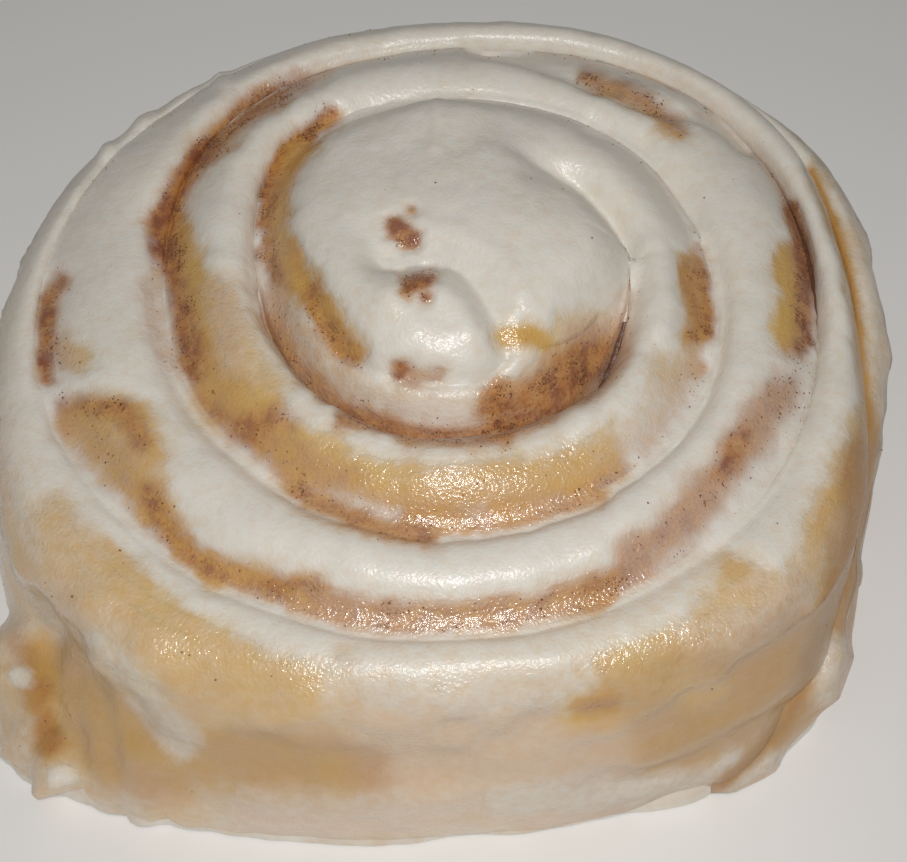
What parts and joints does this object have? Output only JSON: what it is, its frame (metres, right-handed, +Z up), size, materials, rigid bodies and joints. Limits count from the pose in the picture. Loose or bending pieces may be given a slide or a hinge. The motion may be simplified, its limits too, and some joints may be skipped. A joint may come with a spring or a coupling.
{
  "type": "cinnamon roll",
  "caption": "Glazed cinnamon roll: a spiral of risen dough with cinnamon filling in its crease and white icing over the stepped, domed top.",
  "frame": {"origin": "on the flat underside, below the middle of the swirl", "axes": "+Z up through the swirl, +X to the right of the pictured view, -Y towards the viewer"},
  "size_m": [0.1111, 0.1042, 0.0512],
  "materials": {
    "dough": "soft baked crumb with a thin milky glaze, golden to tan",
    "filling": "moist dark cinnamon sugar paste",
    "icing": "smooth glossy sugar icing, warm white"
  },
  "bodies": {
    "root": {"dough": "dough", "cinnamon_filling": "filling", "icing": "icing"}
  },
  "joints": []
}
